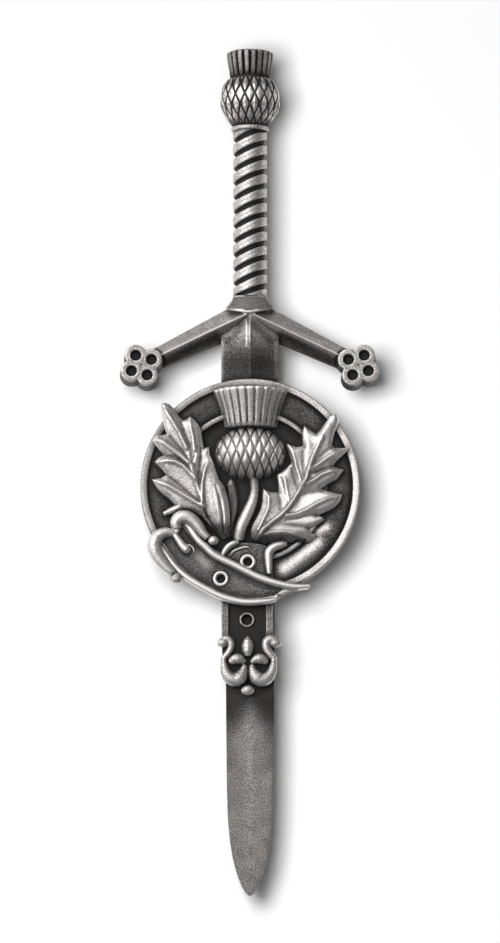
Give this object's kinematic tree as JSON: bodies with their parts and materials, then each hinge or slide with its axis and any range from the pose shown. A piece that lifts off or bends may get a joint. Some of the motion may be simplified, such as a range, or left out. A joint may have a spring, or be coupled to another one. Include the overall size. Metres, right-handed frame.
{
  "type": "sword kilt pin with thistle and belt disc",
  "caption": "Kilt pin shaped as a basketless sword, with a belt-and-buckle disc that carries a thistle between leaves, and a pin and catch on its back.",
  "frame": {"origin": "centre of the footprint, on the surface that the pin lies on when it rests on its back", "axes": "+Y along the sword towards the pommel, +Z out of the decorated front, +X to the right as seen from the front with the pommel up"},
  "size_m": [0.0312, 0.102, 0.013],
  "materials": {
    "antique_pewter": "cast pewter, darkened in the recesses and rubbed bright on the relief",
    "finding_steel": "plain satin steel"
  },
  "bodies": {
    "root": {"thistle_pommel": "antique_pewter", "twisted_grip": "antique_pewter", "cross_guard": "antique_pewter", "blade": "antique_pewter", "belt_disc": "antique_pewter", "buckle": "antique_pewter", "belt_tail": "antique_pewter", "thistle_head": "antique_pewter", "thistle_stem": "antique_pewter", "left_leaf": "antique_pewter", "right_leaf": "antique_pewter", "pin_finding": "finding_steel"}
  },
  "joints": []
}
